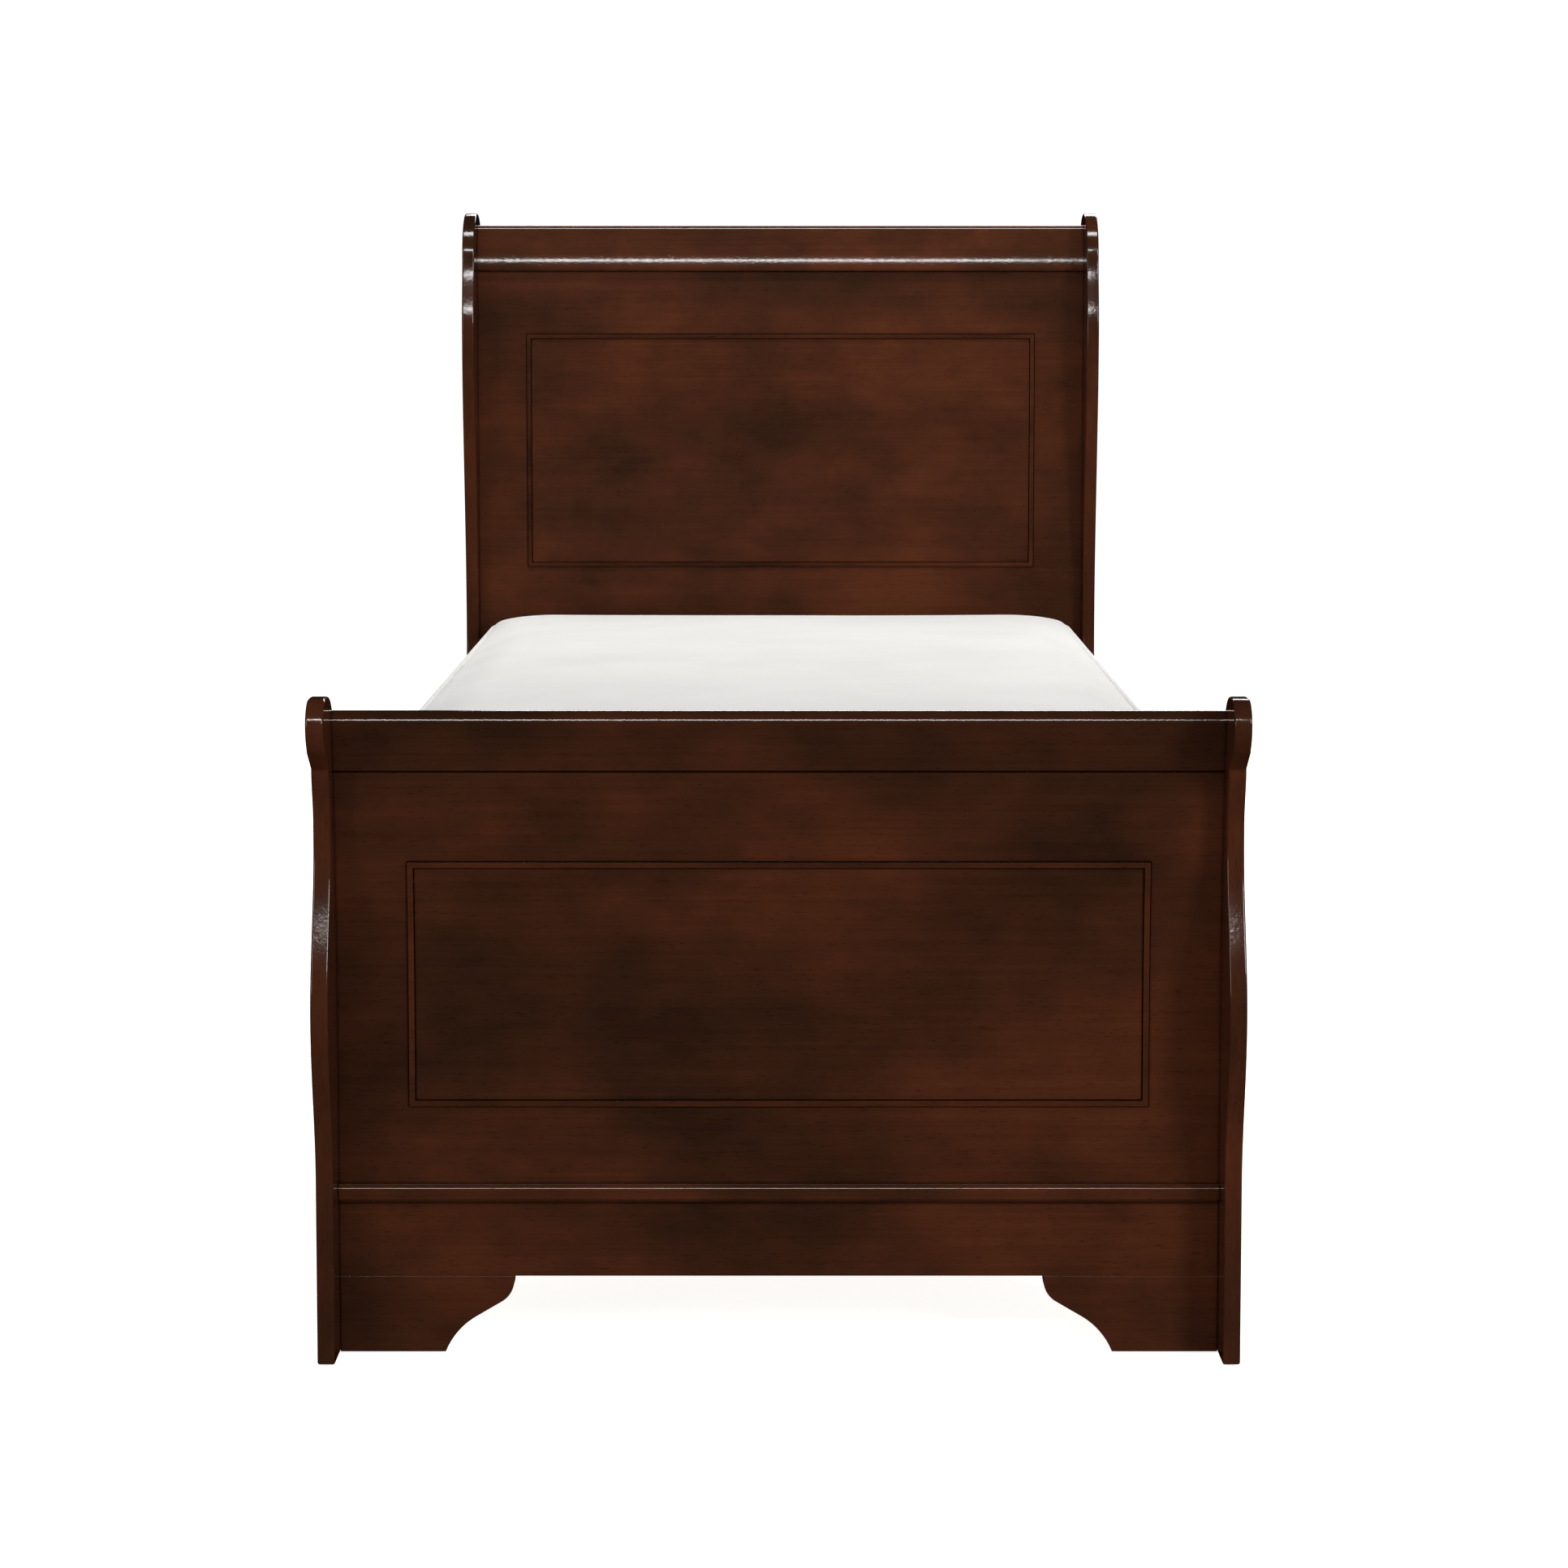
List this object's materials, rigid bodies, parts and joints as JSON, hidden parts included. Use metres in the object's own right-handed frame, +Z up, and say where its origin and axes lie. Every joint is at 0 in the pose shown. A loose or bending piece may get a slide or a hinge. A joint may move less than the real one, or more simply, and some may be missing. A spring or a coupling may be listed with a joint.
{
  "type": "sleigh bed",
  "caption": "Twin sleigh bed with S-shaped end boards, framed panels, bracket feet, a slatted base and a lift-off mattress.",
  "frame": {"origin": "on the floor, at the middle of the bed's width and length", "axes": "+X across the bed, -Y towards the footboard, +Y towards the headboard, +Z up"},
  "size_m": [1.07, 2.17, 1.375],
  "materials": {
    "cherry_stained_wood": "dark cherry stain under semi-gloss lacquer",
    "plain_pine": "planed, unfinished",
    "zinc_steel": "zinc plated, satin",
    "black_plastic": "moulded, matt",
    "mattress_ticking": "white knitted ticking, matt"
  },
  "bodies": {
    "frame": {"bracket_foot_left": "cherry_stained_wood", "bracket_foot_right": "cherry_stained_wood", "bracket_glue_blocks": "plain_pine", "centre_beam": "plain_pine", "centre_leg_foot": "plain_pine", "centre_leg_head": "plain_pine", "corner_slot_plates": "zinc_steel", "floor_glides": "black_plastic", "footboard_apron": "cherry_stained_wood", "footboard_base_moulding": "cherry_stained_wood", "footboard_corner_post_left": "plain_pine", "footboard_corner_post_right": "plain_pine", "footboard_inset_panel": "cherry_stained_wood", "footboard_lower_rail": "cherry_stained_wood", "footboard_panel_bead": "cherry_stained_wood", "footboard_post_left": "cherry_stained_wood", "footboard_post_right": "cherry_stained_wood", "footboard_stile_left": "cherry_stained_wood", "footboard_stile_right": "cherry_stained_wood", "footboard_top_rail": "cherry_stained_wood", "footboard_upper_rail": "cherry_stained_wood", "headboard_corner_post_left": "plain_pine", "headboard_corner_post_right": "plain_pine", "headboard_inset_panel": "cherry_stained_wood", "headboard_lower_rail": "cherry_stained_wood", "headboard_panel_bead": "cherry_stained_wood", "headboard_post_left": "cherry_stained_wood", "headboard_post_right": "cherry_stained_wood", "headboard_stile_left": "cherry_stained_wood", "headboard_stile_right": "cherry_stained_wood", "headboard_top_rail": "cherry_stained_wood", "headboard_upper_rail": "cherry_stained_wood", "hook_plate_screws": "zinc_steel", "ledger_screws": "zinc_steel", "levelling_feet": "black_plastic", "rail_hook_plates": "zinc_steel", "side_rail_left": "cherry_stained_wood", "side_rail_right": "cherry_stained_wood", "slat_1": "plain_pine", "slat_10": "plain_pine", "slat_11": "plain_pine", "slat_12": "plain_pine", "slat_2": "plain_pine", "slat_3": "plain_pine", "slat_4": "plain_pine", "slat_5": "plain_pine", "slat_6": "plain_pine", "slat_7": "plain_pine", "slat_8": "plain_pine", "slat_9": "plain_pine", "slat_ledger_left": "plain_pine", "slat_ledger_right": "plain_pine", "slat_screws": "zinc_steel", "slot_plate_screws": "zinc_steel"},
    "mattress": {"mattress": "mattress_ticking"}
  },
  "joints": [
    {"name": "mattress_lift", "type": "slide", "parent": "frame", "child": "mattress", "axis": [0, 0, 1], "range_m": [0, 0.3]}
  ]
}
